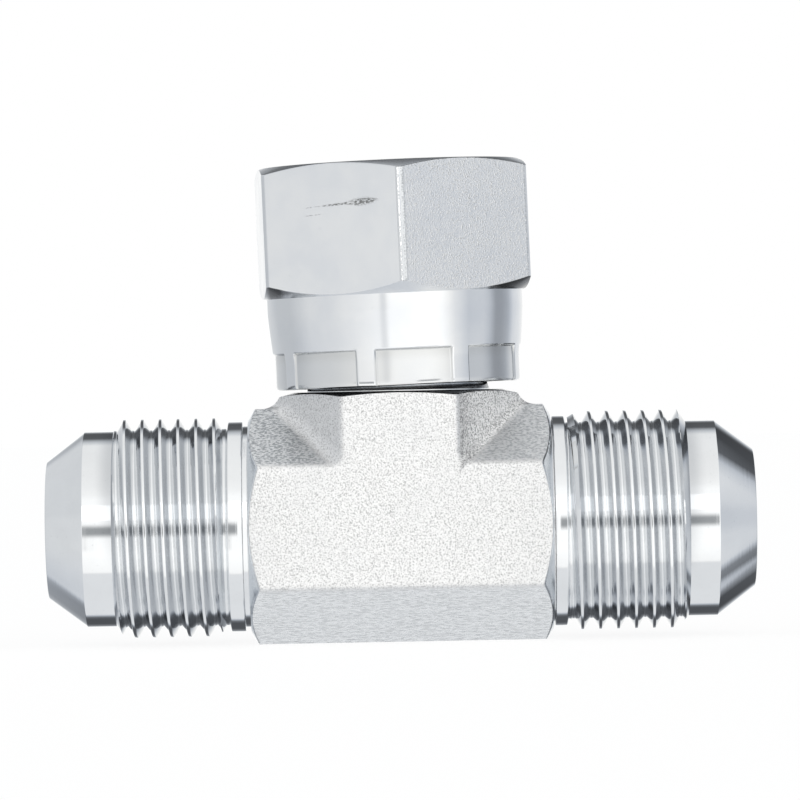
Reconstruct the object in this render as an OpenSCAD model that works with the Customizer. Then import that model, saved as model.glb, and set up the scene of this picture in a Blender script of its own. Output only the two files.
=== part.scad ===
// Swivel branch tee for hydraulic tube, 37 degree flare, size 10 (5/8 inch tube).
// A forged body carries two male flare ends on one line, the run, and a female
// swivel nut on the branch. The nut is crimped over the head of the branch stub,
// so it turns freely and can't come off.
// Origin: where the run axis (X) meets the branch axis (Z). Front is -Y. Millimetres.
// The screw threads are plain here: outside ones at their crest, the inside one at its crest.

/* [Run ends] */
// Branch axis to the tip of each male end
run_half = 35.8; // [34:0.1:44]
// Crest diameter of the 7/8 inch outside thread
thread_od = 22.2; // [21.8:0.05:22.6]
// Length of the chamfer that starts the thread
thread_chamfer = 0.8; // [0.4:0.1:1.5]
// Diameter of the thread run-out groove
groove_od = 20.0; // [19.4:0.1:20.8]
// Width of the thread run-out groove
groove_w = 0.6; // [0.4:0.1:1.2]
// Diameter of the plain collar beside the body
collar_od = 21.3; // [20.9:0.1:22]
// Width of the plain collar
collar_w = 1.5; // [1:0.1:2.5]
// Diameter of the short neck between collar and forging
neck_od = 20.4; // [19.6:0.1:20.8]
// Length of that neck
neck_len = 0.7; // [0.4:0.1:1.5]
// Diameter of the plain nose in front of the thread
nose_od = 19.8; // [19:0.1:20]
// Length of the flare cone along the axis
cone_len = 3.85; // [3:0.05:4.5]
// Length of the plain nose
nose_len = 2.95; // [2:0.05:4]
// Half angle of the flare
flare_angle = 37; // [36:0.5:38]
// Diameter of the drilled way through run and branch
bore_d = 12.3; // [10:0.1:12.6]
// Chamfer on small turned edges
edge_break = 0.3; // [0.1:0.05:0.4]

/* [Forged body] */
// Width across the forged flats, front to back
body_flats = 22.2; // [21.4:0.1:24]
// Width across the corners where the flash is trimmed
body_land = 23.8; // [23.2:0.1:24.2]
// Width of the front and back flats along the run
run_flat = 12.2; // [10:0.1:14]
// Width of the front and back flats up the branch
branch_flat = 11.6; // [10:0.1:14]
// Width of the strip left where the flash was trimmed off the corners
land_width = 4.8; // [2:0.1:5]
// Branch axis to each turned end face of the forging
body_half = 15.3; // [15:0.1:17]
// Run axis to the turned shoulder under the nut
shoulder_z = 13.5; // [13.2:0.1:15]
// Diameter where the turned end chamfers start
chamfer_start = 21.2; // [20.8:0.1:21.8]
// Slope of the chamfers at the run's end faces
chamfer_slope = 25; // [15:1:35]
// Slope of the chamfer round the shoulder
shoulder_slope = 14; // [10:1:30]
// Fillet in the valleys between run and branch
valley_round = 2.0; // [1:0.1:2.6]
// Rounding along the forged edges
edge_round = 0.7; // [0.3:0.1:1.2]
// Rounding along the trimmed strip
trim_round = 0.2; // [0.1:0.05:0.4]

/* [Branch stub] */
// Diameter of the neck that the nut is crimped round
stub_neck_od = 18.0; // [17:0.1:18.6]
// Diameter of the head that holds the nut
head_od = 19.6; // [19.2:0.1:20]
// Shoulder of the forging to the front of the head
head_reach = 9.8; // [9:0.1:11]
// Diameter of the mouth of the flare seat
seat_mouth = 17.8; // [16.5:0.1:18]

/* [Swivel nut] */
// Width across the hex flats
nut_flats = 26.7; // [26.5:0.1:30]
// Diameter over the hex corners, which are skimmed
hex_corners = 30.5; // [30:0.1:34]
// Length of the whole nut
nut_len = 22.5; // [22:0.05:27]
// Length of the hex
hex_len = 13.3; // [12:0.1:15]
// Slope of the chamfer at the open end of the hex
hex_slope = 22; // [15:1:35]
// Slope of the chamfer at the tail end of the hex
hex_low_slope = 28; // [15:1:35]
// Diameter where the hex chamfers start
hex_start = 26.2; // [26:0.05:26.45]
// Diameter of the tail under the hex
tail_od = 26.0; // [25.6:0.02:26.1]
// Diameter of the tail where the jaws have closed it
crimp_od = 25.04; // [24.4:0.02:25.4]
// Crest diameter of the 7/8 inch inside thread
nut_thread_d = 20.4; // [20.2:0.05:20.8]
// Length of the countersink at the nut's mouth
nut_entry = 1.3; // [0.8:0.1:1.6]
// Diameter of the relief behind the inside thread
relief_d = 22.6; // [22.4:0.1:23.4]
// Length of the relief
relief_len = 1.8; // [1.4:0.1:3]
// Diameter of the chamber round the head
chamber_d = 21.1; // [20.8:0.1:22]
// Length of the tail at full diameter
tail_len = 1.6; // [1:0.1:3]
// Length of the tail at crimped diameter
crimp_len = 2.6; // [1:0.1:3]
// Length of the crimped mouth round the neck
mouth_len = 4.0; // [3:0.1:4.4]
// Number of crimping jaws
jaws = 8; // [6:1:10]
// Height of the flat that each jaw leaves
pad_height = 3.6; // [2.5:0.1:3.8]
// Depth of the flat that each jaw leaves
pad_depth = 0.15; // [0.1:0.05:0.35]
// Width of the ridge left between two jaws, degrees
ridge_angle = 9; // [5:1:15]

/* [Fit and rest pose] */
// Gap all round between the neck and the crimped tail
neck_gap = 0.35; // [0.3:0.05:0.5]
// Play of the nut along the branch
end_play = 0.5; // [0.3:0.05:0.9]
// Gap between forging and nut on the branch axis
seat_gap = 0.55; // [0.42:0.01:0.6]
// Lean of the loose nut on its neck, degrees
nut_lean = 1.5; // [0:0.1:1.8]
// Turn of the hex corner from the front, degrees
nut_turn = 4; // [-30:1:30]
// Turn of the jaw marks from the front, degrees
jaw_turn = -14.5; // [-22:0.5:22]

/* [Hidden] */

// Smoothness of turned faces, and steps in a forged fillet
$fn = 96;
round_steps = 5;
taper_steps = 12;
// How far hidden faces run past what they join or cut
over = 1;

// Run, measured outwards along X from the branch axis
collar_x = body_half + neck_len;
groove_x = collar_x + collar_w;
thread_x = groove_x + groove_w;
nose_r = nose_od / 2;
tip_r = nose_r - cone_len * tan(flare_angle);
shoulder_x = run_half - cone_len;
nose_x = shoulder_x - nose_len;
bore_r = bore_d / 2;

// Forging: a hexagon whose corners are trimmed along the parting line
half_flats = body_flats / 2;
half_land = body_land / 2;
half_strip = land_width / 2;
// Slope of the slanting faces of run and branch, from the parting line
run_slope = atan2(half_land - run_flat / 2, half_flats - half_strip);
branch_slope = atan2(half_land - branch_flat / 2, half_flats - half_strip);
// How far the parting line stands past the strip in the valleys
parting_step = 0.25;

// Branch, measured up Z from the run axis
head_top = shoulder_z + head_reach;
seat_depth = (seat_mouth - bore_d) / 2 / tan(flare_angle);
neck_step = (head_od - stub_neck_od) / 2;

// Nut, measured up its own axis from its lower face
nut_z = shoulder_z + seat_gap;
nut_corner_r = nut_flats / 2 / cos(30);
skim_r = hex_corners / 2;
mouth_r = stub_neck_od / 2 + neck_gap;
chamber_z = mouth_len + chamber_d / 2 - mouth_r;
relief_low = head_top - nut_z;
relief_high = relief_low + relief_len;
hex_low = nut_len - hex_len;
taper_low = crimp_len;
taper_high = hex_low - tail_len;
// The head's back starts where the crimp stops it after the end play
head_back = nut_z + mouth_len + end_play - neck_gap;

// Unit vector along v
function unit(v) = v / norm(v);

// Arc that rounds the corner at b between a and c with radius r
function corner_arc(a, b, c, r) =
    let (
        u = unit(a - b),
        w = unit(c - b),
        half = acos(u * w) / 2,
        centre = b + unit(u + w) * r / sin(half),
        from = b + u * r / tan(half) - centre,
        to = b + w * r / tan(half) - centre,
        start = atan2(from[1], from[0]),
        turn = ((atan2(to[1], to[0]) - start + 540) % 360) - 180
    )
    [for (i = [0 : round_steps])
        let (angle = start + turn * i / round_steps)
        centre + r * [cos(angle), sin(angle)]];

// Outline with each corner rounded to its own radius
function rounded(points, radii) =
    let (n = len(points))
    [for (i = [0 : n - 1])
        each corner_arc(points[(i + n - 1) % n], points[i], points[(i + 1) % n], radii[i])];

// One quarter of a bar's corners, flat first: across the flats, then across the strips
function bar_corners(flat, x, y) = [[x * half_flats, y * flat / 2], [x * half_strip, y * half_land]];

// Forged bar that starts at the origin and rises along Z, flats facing front and back
module forged_bar(flat, length) {
    outline = [
        for (side = [[1, 1], [-1, 1], [-1, -1], [1, -1]])
            let (corners = bar_corners(flat, side[0], side[1]))
            each side[0] * side[1] > 0 ? corners : [corners[1], corners[0]]
    ];
    radii = [for (i = [0 : 3]) each i % 2 == 0 ? [edge_round, trim_round] : [trim_round, edge_round]];
    rotate([0, 0, 90])
        linear_extrude(length)
            polygon(rounded(outline, radii));
}

// Space that the turning tool leaves below a chamfered end face at the given height
module turned_end(height, slope) {
    start = chamfer_start / 2;
    reach = half_land + valley_round;
    drop = (reach - start) * tan(slope);
    rotate_extrude()
        polygon([
            [0, -over],
            [reach, -over],
            [reach, height - drop],
            [start, height],
            [0, height]
        ]);
}

// Fillet strip whose spine runs along Z through the point of the valley.
// Its two walls open to either side of +X by the angle wall from the middle.
module valley_strip(radius, wall, length) {
    touch = radius / tan(wall);
    centre = radius / sin(wall);
    sweep = 90 - wall;
    arc = [for (i = [-round_steps : round_steps])
        let (angle = 180 + sweep * i / round_steps)
        [centre + radius * cos(angle), radius * sin(angle)]];
    root = [
        [touch * cos(wall) - over, -touch * sin(wall)],
        [-over, 0],
        [touch * cos(wall) - over, touch * sin(wall)]
    ];
    translate([0, 0, -length / 2])
        linear_extrude(length)
            polygon(concat(arc, root));
}

// Moves a strip into the valley between two faces with the outward normals a and b
module in_valley(a, b, point) {
    spine = unit(cross(a, b));
    out = unit(a + b);
    side = cross(spine, out);
    multmatrix([
        [out[0], side[0], spine[0], point[0]],
        [out[1], side[1], spine[1], point[1]],
        [out[2], side[2], spine[2], point[2]]
    ])
        children();
}

// Fillets in the corner between the run and one side of the branch: side is -1 or 1
module branch_corner(side) {
    for (face = [-1, 1]) {
        run_normal = [0, face * sin(run_slope), cos(run_slope)];
        branch_normal = [side * cos(branch_slope), face * sin(branch_slope), 0];
        between = acos(run_normal * branch_normal);
        intersection() {
            in_valley(run_normal, branch_normal, [side * half_land, face * half_strip, half_land])
                valley_strip(valley_round, 90 - between / 2, 2 * body_flats);
            translate([side * body_half / 2, face * (half_strip + half_flats) / 2, shoulder_z / 2])
                cube([body_half, half_flats - half_strip, shoulder_z], center = true);
        }
    }
    in_valley([0, 0, 1], [side, 0, 0], [side * half_land, 0, half_land])
        valley_strip(valley_round, 45, land_width + 2 * parting_step);
}

// The forging before drilling: run bar, branch bar and the fillets between them
module forging() {
    intersection() {
        translate([-body_half - over, 0, 0])
            rotate([0, 90, 0])
                forged_bar(run_flat, 2 * (body_half + over));
        for (side = [0, 1])
            mirror([side, 0, 0])
                rotate([0, 90, 0])
                    turned_end(body_half, chamfer_slope);
    }
    intersection() {
        union() {
            forged_bar(branch_flat, shoulder_z + over);
            branch_corner(-1);
            branch_corner(1);
        }
        turned_end(shoulder_z, shoulder_slope);
    }
}

// One male end, turned about Z: neck, collar, groove, thread, nose and flare
module male_end() {
    neck_r = neck_od / 2;
    collar_r = collar_od / 2;
    groove_r = groove_od / 2;
    thread_r = thread_od / 2;
    rotate_extrude()
        polygon([
            [0, 0],
            [neck_r, 0],
            [neck_r, collar_x],
            [collar_r - edge_break, collar_x],
            [collar_r, collar_x + edge_break],
            [collar_r, groove_x - edge_break],
            [groove_r, groove_x],
            [groove_r, thread_x],
            [thread_r, thread_x + thread_r - groove_r],
            [thread_r, nose_x - thread_chamfer],
            [nose_r, nose_x],
            [nose_r, shoulder_x],
            [tip_r, run_half],
            [0, run_half]
        ]);
}

// The branch stub, turned about Z: neck, and the head that the nut can't pass
module branch_stub() {
    neck_r = stub_neck_od / 2;
    head_r = head_od / 2;
    rotate_extrude()
        polygon([
            [0, 0],
            [neck_r, 0],
            [neck_r, head_back],
            [head_r, head_back + neck_step],
            [head_r, head_top - edge_break],
            [head_r - edge_break, head_top],
            [0, head_top]
        ]);
}

// Concave flare seat in the front of the head, with the drilled way below it
module branch_way() {
    rotate_extrude()
        polygon([
            [0, 0],
            [bore_r, 0],
            [bore_r, head_top - seat_depth],
            [seat_mouth / 2, head_top],
            [seat_mouth / 2, head_top + over],
            [0, head_top + over]
        ]);
}

module tee_body() {
    color("gainsboro")
        difference() {
            union() {
                forging();
                rotate([0, 90, 0])
                    male_end();
                rotate([0, -90, 0])
                    male_end();
                branch_stub();
            }
            rotate([0, -90, 0])
                cylinder(r = bore_r, h = 2 * (run_half + over), center = true);
            branch_way();
        }
}

// Hex with both ends chamfered by turning, on the nut's own axis
module nut_hex() {
    start = hex_start / 2;
    low_drop = (skim_r - start) * tan(hex_low_slope);
    high_drop = (skim_r - start) * tan(hex_slope);
    intersection() {
        rotate([0, 0, nut_turn - 90])
            translate([0, 0, hex_low])
                cylinder(r = nut_corner_r, h = hex_len, $fn = 6);
        rotate_extrude()
            polygon([
                [0, hex_low],
                [start, hex_low],
                [skim_r, hex_low + low_drop],
                [skim_r, nut_len - high_drop],
                [start, nut_len],
                [0, nut_len]
            ]);
    }
}

// Radius of the tail at a height, an even curve from the crimp up to the full tail
function tail_r(z) =
    let (t = (z - taper_low) / (taper_high - taper_low))
    (crimp_od + (tail_od - crimp_od) * (1 - cos(180 * t)) / 2) / 2;

// Round tail under the hex, drawn in at its lower end by the crimp
module nut_tail() {
    crimp_r = crimp_od / 2;
    rotate_extrude()
        polygon(concat(
            [[0, 0], [crimp_r - edge_break, 0], [crimp_r, edge_break]],
            [for (i = [0 : taper_steps])
                let (z = taper_low + (taper_high - taper_low) * i / taper_steps)
                [tail_r(z), z]],
            [[tail_od / 2, hex_low + over], [0, hex_low + over]]
        ));
}

// Flats pressed round the tail by the jaws, with a ridge standing between each two
module jaw_marks() {
    pitch = 360 / jaws;
    floor_r = crimp_od / 2 - pad_depth;
    for (i = [0 : jaws - 1])
        rotate([0, 0, jaw_turn - 90 + ridge_angle / 2 + i * pitch])
            rotate_extrude(angle = pitch - ridge_angle)
                translate([floor_r, -over])
                    square([2 * over, pad_height + over]);
}

// Everything inside the nut: crimped mouth, chamber, relief and thread
module nut_way() {
    chamber_r = chamber_d / 2;
    relief_r = relief_d / 2;
    thread_r = nut_thread_d / 2;
    entry_r = thread_r + nut_entry;
    rotate_extrude()
        polygon([
            [0, -over],
            [mouth_r + edge_break, -over],
            [mouth_r + edge_break, 0],
            [mouth_r, edge_break],
            [mouth_r, mouth_len],
            [chamber_r, chamber_z],
            [chamber_r, relief_low],
            [relief_r, relief_low + relief_r - chamber_r],
            [relief_r, relief_high],
            [thread_r, relief_high + relief_r - thread_r],
            [thread_r, nut_len - nut_entry],
            [entry_r, nut_len],
            [entry_r, nut_len + over],
            [0, nut_len + over]
        ]);
}

module swivel_nut() {
    color("lightsteelblue")
        translate([0, 0, nut_z])
            rotate([0, -nut_lean, 0])
                difference() {
                    union() {
                        nut_hex();
                        nut_tail();
                    }
                    nut_way();
                    jaw_marks();
                }
}

tee_body();
swivel_nut();
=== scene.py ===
# %% [markdown]
# A hydraulic tube fitting in zinc-plated steel: a forged tee with two threaded flare ends and a swivel
# nut crimped on the branch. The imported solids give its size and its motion. This script puts a finer
# skin over them: real helical threads, forged blends, jaw marks and the finishes. Every size here is in
# mm, and becomes metres when a mesh is made.

import math

import bmesh
import bpy
import numpy as np
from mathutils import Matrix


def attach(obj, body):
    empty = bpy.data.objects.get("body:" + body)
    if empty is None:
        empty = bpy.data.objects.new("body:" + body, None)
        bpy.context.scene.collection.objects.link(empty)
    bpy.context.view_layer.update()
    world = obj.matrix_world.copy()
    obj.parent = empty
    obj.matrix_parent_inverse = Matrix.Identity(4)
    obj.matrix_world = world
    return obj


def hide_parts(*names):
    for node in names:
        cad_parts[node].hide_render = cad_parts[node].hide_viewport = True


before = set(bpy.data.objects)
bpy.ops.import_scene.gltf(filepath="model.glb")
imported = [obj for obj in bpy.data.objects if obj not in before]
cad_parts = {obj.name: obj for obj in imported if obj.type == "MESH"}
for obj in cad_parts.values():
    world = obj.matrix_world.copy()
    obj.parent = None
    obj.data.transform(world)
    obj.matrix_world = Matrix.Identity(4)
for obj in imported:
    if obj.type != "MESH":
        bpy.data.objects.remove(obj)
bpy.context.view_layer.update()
MM = 0.001


# %% [markdown]
# Every skin here is a grid of points: one array of rows and columns, worked out at once. Grids that
# share an edge are welded where their points meet, so seams and poles close by themselves. The
# signed volume tells whether the faces look outwards.

# %% From grids to a piece
WELD = 2e-7  # metres: points nearer than this are one


def grid_faces(rows, columns):
    """Four corners of each cell: point, next column, next column of next row, next row."""
    index = np.arange(rows * columns).reshape(rows, columns)
    corners = index[:-1, :-1], index[:-1, 1:], index[1:, 1:], index[1:, :-1]
    return np.stack(corners, -1).reshape(-1, 4)


def signed_volume(mesh):
    """Sum over triangles of a . (b x c) / 6, positive when faces look outwards."""
    mesh.calc_loop_triangles()
    corners = np.empty(len(mesh.loop_triangles) * 3, np.int32)
    mesh.loop_triangles.foreach_get("vertices", corners)
    points = np.empty(len(mesh.vertices) * 3)
    mesh.vertices.foreach_get("co", points)
    a, b, c = points.reshape(-1, 3)[corners.reshape(-1, 3)].transpose(1, 0, 2)
    return float(np.einsum("ij,ij->i", a, np.cross(b, c)).sum() / 6)


def placed(name, data):
    """A new object in the scene, from its mesh, camera or light."""
    item = bpy.data.objects.new(name, data)
    bpy.context.scene.collection.objects.link(item)
    return item


def piece_from_grids(name, grids, sharp=40):
    """Puts grids of points in mm into one mesh, welds them and shades it smooth but for sharp edges."""
    points, faces, first = [], [], 0
    for grid in grids:
        rows, columns = grid.shape[:2]
        points.append(grid.reshape(-1, 3))
        faces.append(grid_faces(rows, columns) + first)
        first += rows * columns
    mesh = bpy.data.meshes.new(name)
    mesh.from_pydata((np.concatenate(points) * MM).tolist(), [], np.concatenate(faces).tolist())
    work = bmesh.new()
    work.from_mesh(mesh)
    bmesh.ops.remove_doubles(work, verts=work.verts, dist=WELD)
    bmesh.ops.dissolve_degenerate(work, edges=work.edges, dist=WELD)
    open_edges = sum(not edge.is_manifold for edge in work.edges)
    work.to_mesh(mesh)
    work.free()
    volume = signed_volume(mesh)
    if volume < 0:
        mesh.flip_normals()
    mesh.shade_smooth()
    mesh.set_sharp_from_angle(angle=math.radians(sharp))
    print(name, "triangles", len(mesh.loop_triangles), "open edges", open_edges,
          "cm3", round(abs(volume) * 1e6, 3))
    return placed(name, mesh)


def mark(piece, name, rule):
    """Stores on each point of a piece the number that the rule gives for its x, y and z in mm."""
    points = np.empty(len(piece.data.vertices) * 3)
    piece.data.vertices.foreach_get("co", points)
    values = rule(*(points.reshape(-1, 3) / MM).T)
    piece.data.attributes.new(name, "FLOAT", "POINT").data.foreach_set("value", values.astype(np.float32))


# %% [markdown]
# Forged and turned metal has no sharp edges: each corner is a small radius, and each valley a fillet.
# Where two surfaces cross, a parabola over the crossing gives that in one line of arithmetic. A corner
# of a turned profile becomes an arc in the same way, as a curve with the corner as its middle handle.

# %% Soft crossings and rounded corners
CRISP = 0.001  # the radius of a corner that stays sharp


def smooth_max(a, b, width):
    """The larger of a and b, with a parabola of the given width over the crossing."""
    return np.maximum(a, b) + np.clip(width - np.abs(a - b), 0, None) ** 2 / (4 * width)


def smooth_min(a, b, width):
    """The smaller of a and b, with a parabola of the given width over the crossing."""
    return -smooth_max(-a, -b, width)


def ease(low, high, value):
    """Rises from 0 at low to 1 at high as 3t2 - 2t3."""
    t = np.clip((value - low) / (high - low), 0, 1)
    return t * t * (3 - 2 * t)


def rounded_profile(points, radii, steps=4):
    """Each corner of a profile becomes an arc of its radius, within 0.45 of the shorter side beside it.
    A corner is one point, or a row of points for a profile that differs round the axis."""
    points = [np.asarray(point, float) for point in points]
    out = [points[0]]
    for before, here, after, radius in zip(points, points[1:], points[2:], radii):
        u, w = before - here, after - here
        long_u = np.linalg.norm(u, axis=-1, keepdims=True)
        long_w = np.linalg.norm(w, axis=-1, keepdims=True)
        u, w = u / long_u, w / long_w
        half = np.arccos(np.clip((u * w).sum(-1, keepdims=True), -1, 1)) / 2
        touch = np.minimum(radius / np.tan(half), 0.45 * np.minimum(long_u, long_w))
        start, end = here + u * touch, here + w * touch
        for t in np.linspace(0, 1, steps + 1):
            out.append((1 - t) ** 2 * start + 2 * t * (1 - t) * here + t * t * end)
    out.append(points[-1])
    return out


# %% [markdown]
# The forging is a tee of two six-sided bars. Seen from the front it is nearly a block, so its skin is a
# depth over the front view: for each place x along the run and each height z, the bar that reaches
# further forward wins, with a soft crossing for the fillet in the valley. Turning then cuts the three
# ends with a shallow cone. Columns are spaced so that the shoulder and the end faces are true circles.

# %% Sizes of the forging
FLATS, LAND, STRIP = 11.1, 11.9, 2.4  # half depth, half height, and half depth of the trimmed top and bottom
RUN_FLAT, BRANCH_FLAT = 6.1, 5.8  # half height of the run's front flat and half width of the branch's
BODY_END, SHOULDER = 15.3, 13.5  # where the turned ends and the branch's shoulder cut the forging off
END_START, END_SLOPE = 10.95, math.radians(33)  # the end chamfer: radius at the end face, and its angle
TOP_START, TOP_SLOPE = 10.6, math.radians(14)  # the same at the shoulder
VALLEY, EDGE, BREAK = 2.0, 0.4, 0.1  # fillet of the valleys, soft edge of the flat, broken turned edges
BORE = 6.15
CLOSING, ENDED = 4, -9  # how steeply the skin closes over the strip, and the depth where a bar has ended
HALF_TURN, SIDE_COLUMNS = 160, 43  # cells over half a circle, and columns beyond the shoulder on each side
print("forging, mm:", 2 * BODY_END, "wide,", 2 * FLATS, "deep,", LAND + SHOULDER, "high")


def slanting_depth(across, flat):
    """Half depth that the slanting faces of a six-sided bar would have, running on past its flat."""
    return FLATS - (np.abs(across) - flat) * (FLATS - STRIP) / (LAND - flat)


def cone_radius(distance, start=END_START, slope=END_SLOPE):
    """Radius left by the turning tool at a distance back from an end face."""
    return start + distance / math.tan(slope)


def forging_depth(x, z):
    """The deeper of the two slanting faces, softly joined, capped by the flat and by the turned cones."""
    run, branch = slanting_depth(z, RUN_FLAT), slanting_depth(x, BRANCH_FLAT)
    run = np.where(np.abs(z) > LAND, STRIP - (np.abs(z) - LAND) * CLOSING, run)
    run, branch = np.maximum(run, ENDED), np.where(z > 0, np.maximum(branch, ENDED), ENDED)
    depth = smooth_min(smooth_max(run, branch, VALLEY), FLATS, EDGE)
    end_cone = cone_radius(BODY_END - np.abs(x))
    top_cone = cone_radius(SHOULDER - z, TOP_START, TOP_SLOPE)
    for across, radius in ((z, end_cone), (x, top_cone)):
        cut = np.sqrt(np.clip(radius ** 2 - across ** 2, 0, None))
        depth = smooth_min(depth, cut, BREAK)
    return np.clip(depth, 0, None)


def top_outline(x):
    """Height of the outline: shoulder, its chamfer, the fillet down to the run, and the run's chamfer."""
    x = np.abs(x)
    shoulder = SHOULDER - np.clip(x - TOP_START, 0, None) * math.tan(TOP_SLOPE)
    centre = LAND + VALLEY
    fillet = centre - np.sqrt(np.clip(VALLEY ** 2 - (centre - x) ** 2, 0, None))
    run = np.where(x < LAND, SHOULDER + 1, np.where(x < centre, fillet, LAND))
    return np.minimum(np.minimum(shoulder, run), cone_radius(BODY_END - x))


# %% Front and back of the forging
theta = np.linspace(0, math.pi, HALF_TURN + 1)
middle = -TOP_START * np.cos(theta)
side = np.linspace(TOP_START, BODY_END, SIDE_COLUMNS + 1)[1:]
columns = np.concatenate([-side[::-1], middle, side])
high = top_outline(columns)
low = -np.minimum(LAND, cone_radius(BODY_END - np.abs(columns)))
spread = (1 - np.cos(theta)) / 2
heights = low[:, None] + (high - low)[:, None] * spread[None]
wide = np.repeat(columns[:, None], HALF_TURN + 1, 1)
depths = forging_depth(wide, heights)

# The two end faces and the shoulder are flat, so their rims are exact circles
depths[0], depths[-1] = (np.sqrt(np.clip(END_START ** 2 - heights[k] ** 2, 0, None)) for k in (0, -1))
count, first = len(columns) - 1, len(side)
last = first + HALF_TURN
depths[first:last + 1, -1] = TOP_START * np.sin(theta)
front = np.stack([wide, -depths, heights], -1)
back = np.stack([wide, depths, heights], -1)


def edge_strip(start, end, row):
    """Joins front and back along the outline, from one column to another of the bottom or top row."""
    return np.stack([front[start:end + 1, row], back[start:end + 1, row]], 1)


edges = [edge_strip(0, count, 0)[::-1], edge_strip(0, first, -1), edge_strip(last, count, -1)]
print("forging skin, rows of x and of height:", front.shape[:2])

# %% [markdown]
# The drilled holes meet in the middle of the tee. Equal bores cross along a mitre, where the distance
# along one equals the distance along the other, so the skin of each hole stops there and they close on
# each other without any cutting.

# %% The drilled way
RUN_RINGS, BRANCH_RINGS = 9, 7
cos_t, sin_t = np.cos(theta), np.sin(theta)


def half_way(outer, mouth, mitre, rings, forwards):
    """Half of a drilled way: the flat ring round its mouth, then rings down to the mitre."""
    rows = [outer, mouth] + [mouth + (mitre - mouth) * t for t in np.linspace(0, 1, rings)[1:]]
    return np.stack(rows if forwards else rows[::-1])


def run_way(sign):
    """Drilled way from an end face to the crossing: x stops at the mitre, where x equals height."""
    halves = []
    for face in (-1, 1):
        y, z = face * sin_t, -cos_t
        end = np.full_like(y, sign * BODY_END)
        outer, mouth = (np.stack([end, r * y, r * z], -1) for r in (END_START, BORE))
        mitre = np.stack([sign * BORE * np.clip(z, 0, None), BORE * y, BORE * z], -1)
        halves.append(half_way(outer, mouth, mitre, RUN_RINGS, sign * face > 0))
    return halves


def branch_way():
    """Drilled way from the shoulder down to the crossing, mitred on both sides."""
    halves = []
    for face in (-1, 1):
        x, y = -cos_t, face * sin_t
        top = np.full_like(x, SHOULDER)
        outer, mouth = (np.stack([r * x, r * y, top], -1) for r in (TOP_START, BORE))
        mitre = np.stack([BORE * x, BORE * y, BORE * np.abs(x)], -1)
        halves.append(half_way(outer, mouth, mitre, BRANCH_RINGS, face > 0))
    return halves


ways = run_way(-1) + run_way(1) + branch_way()
forging = piece_from_grids("forged_tee", [front, back[::-1]] + edges + ways)

# %% [markdown]
# The thread is a real helix, not rings: 14 turns to the inch with 60 degree flanks. Its rows climb one
# pitch per turn, so that crest and root lie along the grid and stay crisp. Where a row would pass an end
# it is held at the end, with the thread's own section there, and the cells that shrink to nothing are
# welded away. An end turned half a turn about the branch keeps its thread right-handed.

# %% A helical thread on a grid
PITCH = 25.4 / 14
THREAD_DEPTH = 0.6134 * PITCH
FLANK_ANGLE = math.radians(30)
CREST_HALF = 0.14
ROOT_ROUND, CREST_ROUND = 0.12, 0.05
AROUND = 240
print("pitch and depth of the thread, mm:", round(PITCH, 3), round(THREAD_DEPTH, 3))

# Rows of one turn as shares of the pitch from the crest, closer at the edges of crest and root
ROWS = np.array([-0.5, -0.47, -0.44, -0.41, -0.38, -0.3, -0.2, -0.12, -0.09, -0.077, -0.065,
                 0, 0.065, 0.077, 0.09, 0.12, 0.2, 0.3, 0.38, 0.41, 0.44, 0.47])


def thread_height(phase):
    """Height above the root from 0 to 1: a narrow crest flat, 60 degree flanks and a round root."""
    from_crest = np.abs((phase + 0.5) % 1 - 0.5) * PITCH
    flank = 1 - (from_crest - CREST_HALF) / math.tan(FLANK_ANGLE) / THREAD_DEPTH
    rooted = smooth_max(flank, 0, ROOT_ROUND)
    return np.clip(smooth_min(rooted, 1, CREST_ROUND), 0, 1)


def helix_rows(start, end, crest):
    """Places of the rows along the axis at angle 0, from two turns before the start to past the end."""
    turns = np.arange(math.floor((start - crest) / PITCH) - 2, math.ceil((end - crest) / PITCH) + 2)
    return crest + (turns[:, None] + ROWS[None]).ravel() * PITCH


def threaded(start, end, crest, envelope, root, depth, around=AROUND):
    """Grid of (along, radius, angle): root plus depth times height, kept inside or outside the envelope.
    The phase is the distance from the crest in pitches, less the share of a turn."""
    offset = helix_rows(start, end, crest)
    angle = np.linspace(0, 2 * math.pi, around + 1)
    along = np.clip(offset[:, None] + PITCH * angle[None] / (2 * math.pi), start, end)
    radius = root + depth * thread_height((along - crest) / PITCH - angle / (2 * math.pi))
    radius = np.minimum(radius, envelope(along)) if depth > 0 else np.maximum(radius, envelope(along))
    return along, radius, angle


def turned_rows(profile, around):
    """Grid of (along, radius, angle) from a profile of (along, radius) points carried round the axis."""
    profile = np.array(profile)
    angle = np.linspace(0, 2 * math.pi, around + 1)
    ones = np.ones(around + 1)
    return profile[:, :1] * ones, profile[:, 1:] * ones, angle


def about_x(along, radius, angle):
    """Points round the X axis: y is the radius times the cosine and z times the sine."""
    return np.stack([along, radius * np.cos(angle), radius * np.sin(angle)], -1)


def about_z(along, radius, angle):
    """Points round the Z axis: x is the radius times the cosine and y times the sine."""
    return np.stack([radius * np.cos(angle), radius * np.sin(angle), along], -1)


# %% [markdown]
# Each male end is turned from the forging: a short neck, a plain collar, a run-out groove, the thread,
# a plain nose and the 37 degree flare cone. The skin is closed through the drilled way, and its inner
# end lies inside the forging. The two ends in the picture don't run out alike, so each has its own
# places for the collar and the first crest.

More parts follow.
